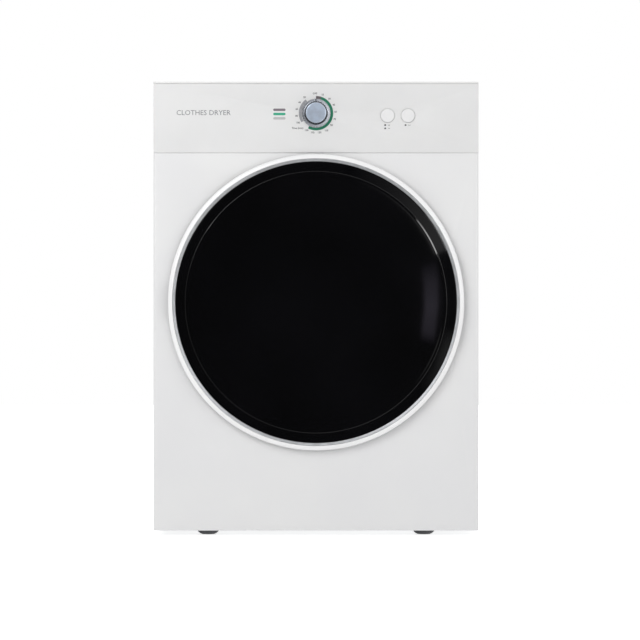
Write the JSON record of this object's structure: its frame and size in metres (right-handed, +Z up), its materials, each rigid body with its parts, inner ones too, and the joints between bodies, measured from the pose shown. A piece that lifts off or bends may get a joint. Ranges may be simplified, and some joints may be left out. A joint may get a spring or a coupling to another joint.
{
  "type": "clothes dryer",
  "caption": "Front-loading vented clothes dryer with a round side-hinged door, turning drum, belt drive, heater, fan, lint filter, timer knob and push buttons.",
  "frame": {"origin": "on the floor under the middle of the machine, door and vent collar included", "axes": "+Z up, the door and controls face -Y, +X to the right seen from the front"},
  "size_m": [0.595, 0.555, 0.83],
  "materials": {
    "panel_enamel": "white baked enamel",
    "lid_laminate": "white laminate",
    "white_moulding": "satin white moulding",
    "satin_silver": "satin",
    "knob_silver": "silver paint on moulding",
    "smoked_window": "polished, tinted almost black",
    "bowl_glass": "clear",
    "grey_moulding": "moulded",
    "galvanised": "galvanised sheet",
    "stainless": "brushed",
    "plain_steel": "turned or pressed steel",
    "bearing_bronze": "sintered",
    "motor_black": "black paint",
    "heating_rod": "dark sheath on ceramic posts",
    "black_moulding": "moulded",
    "wool_felt": "felt",
    "glide_plastic": "low friction",
    "soft_rubber": "rubber",
    "wire_sheath": "sleeved loom"
  },
  "bodies": {
    "cabinet": {"base_tray": "galvanised", "left_side_panel": "panel_enamel", "right_side_panel": "panel_enamel", "rear_panel": "galvanised", "cabinet_screws": "plain_steel", "front_panel": "panel_enamel", "top_panel": "lid_laminate", "control_panel": "white_moulding", "timer_unit": "grey_moulding", "switch_block": "grey_moulding", "front_bulkhead": "galvanised", "front_felt_seal": "wool_felt", "drum_glides": "glide_plastic", "rear_bulkhead": "galvanised", "rear_felt_seal": "wool_felt", "bearing_housing": "plain_steel", "drum_bearing": "bearing_bronze", "heater_housing": "galvanised", "heater_element": "heating_rod", "thermostats": "plain_steel", "motor_case": "motor_black", "motor_bracket": "galvanised", "drum_belt": "soft_rubber", "fan_housing": "grey_moulding", "lint_duct": "grey_moulding", "exhaust_duct": "grey_moulding", "vent_collar": "grey_moulding", "door_catch": "grey_moulding", "hinge_plate": "plain_steel", "hinge_pin": "plain_steel", "cable_gland": "grey_moulding", "terminal_block": "grey_moulding", "wiring_harness": "wire_sheath"},
    "door": {"door_ring": "white_moulding", "door_trim_ring": "satin_silver", "door_window": "smoked_window", "door_inner_frame": "grey_moulding", "door_bowl": "bowl_glass", "door_seal": "soft_rubber", "door_striker": "plain_steel", "hinge_arm": "plain_steel", "door_screws": "plain_steel"},
    "drum": {"drum_shell": "stainless", "drum_back": "stainless", "drum_lifters": "grey_moulding", "drum_shaft": "plain_steel"},
    "motor_rotor": {"motor_shaft": "plain_steel", "belt_pulley": "black_moulding", "fan_impeller": "black_moulding"},
    "idler_arm": {"idler_arm": "plain_steel"},
    "idler_pulley": {"idler_pulley": "black_moulding"},
    "timer_knob": {"timer_knob": "knob_silver", "knob_cap": "satin_silver"},
    "temperature_button": {"temperature_button": "white_moulding"},
    "start_button": {"start_button": "white_moulding"},
    "lint_filter": {"lint_filter": "grey_moulding"},
    "front_left_foot": {"front_left_foot": "soft_rubber"},
    "front_right_foot": {"front_right_foot": "soft_rubber"},
    "rear_left_foot": {"rear_left_foot": "soft_rubber"},
    "rear_right_foot": {"rear_right_foot": "soft_rubber"}
  },
  "joints": [
    {"name": "door_swing", "type": "hinge", "parent": "cabinet", "child": "door", "pos_m": [-0.2645, -0.263, 0.4265], "axis": [0, 0, -1], "range_deg": [0, 145]},
    {"name": "drum_spin", "type": "hinge", "parent": "cabinet", "child": "drum", "pos_m": [0, 0, 0.4265], "axis": [0, 1, 0], "continuous": true},
    {"name": "motor_spin", "type": "hinge", "parent": "cabinet", "child": "motor_rotor", "pos_m": [0.175, -0.095, 0.095], "axis": [0, 1, 0], "continuous": true},
    {"name": "idler_arm_swing", "type": "hinge", "parent": "cabinet", "child": "idler_arm", "pos_m": [0.06, 0.068, 0.05], "axis": [0, -1, 0], "range_deg": [0, 10], "stiffness_Nm_per_rad": 5, "springref_deg": -11.46},
    {"name": "idler_spin", "type": "hinge", "parent": "idler_arm", "child": "idler_pulley", "pos_m": [0.1, 0.06, 0.095], "axis": [0, 1, 0], "continuous": true},
    {"name": "timer_turn", "type": "hinge", "parent": "cabinet", "child": "timer_knob", "pos_m": [0, -0.2555, 0.7725], "axis": [0, 1, 0], "continuous": true},
    {"name": "temperature_press", "type": "slide", "parent": "cabinet", "child": "temperature_button", "axis": [0, 1, 0], "range_m": [0, 0.003], "stiffness_N_per_m": 400},
    {"name": "start_press", "type": "slide", "parent": "cabinet", "child": "start_button", "axis": [0, 1, 0], "range_m": [0, 0.003], "stiffness_N_per_m": 400},
    {"name": "filter_lift", "type": "slide", "parent": "cabinet", "child": "lint_filter", "axis": [0, 0, 1], "range_m": [0, 0.09]},
    {"name": "front_left_levelling", "type": "slide", "parent": "cabinet", "child": "front_left_foot", "axis": [0, 0, -1], "range_m": [0, 0.015]},
    {"name": "front_right_levelling", "type": "slide", "parent": "cabinet", "child": "front_right_foot", "axis": [0, 0, -1], "range_m": [0, 0.015]},
    {"name": "rear_left_levelling", "type": "slide", "parent": "cabinet", "child": "rear_left_foot", "axis": [0, 0, -1], "range_m": [0, 0.015]},
    {"name": "rear_right_levelling", "type": "slide", "parent": "cabinet", "child": "rear_right_foot", "axis": [0, 0, -1], "range_m": [0, 0.015]}
  ],
  "couplings": [
    {"joint": "motor_spin", "follows": "drum_spin", "ratio": 47.333},
    {"joint": "idler_spin", "follows": "drum_spin", "ratio": 13.524}
  ]
}
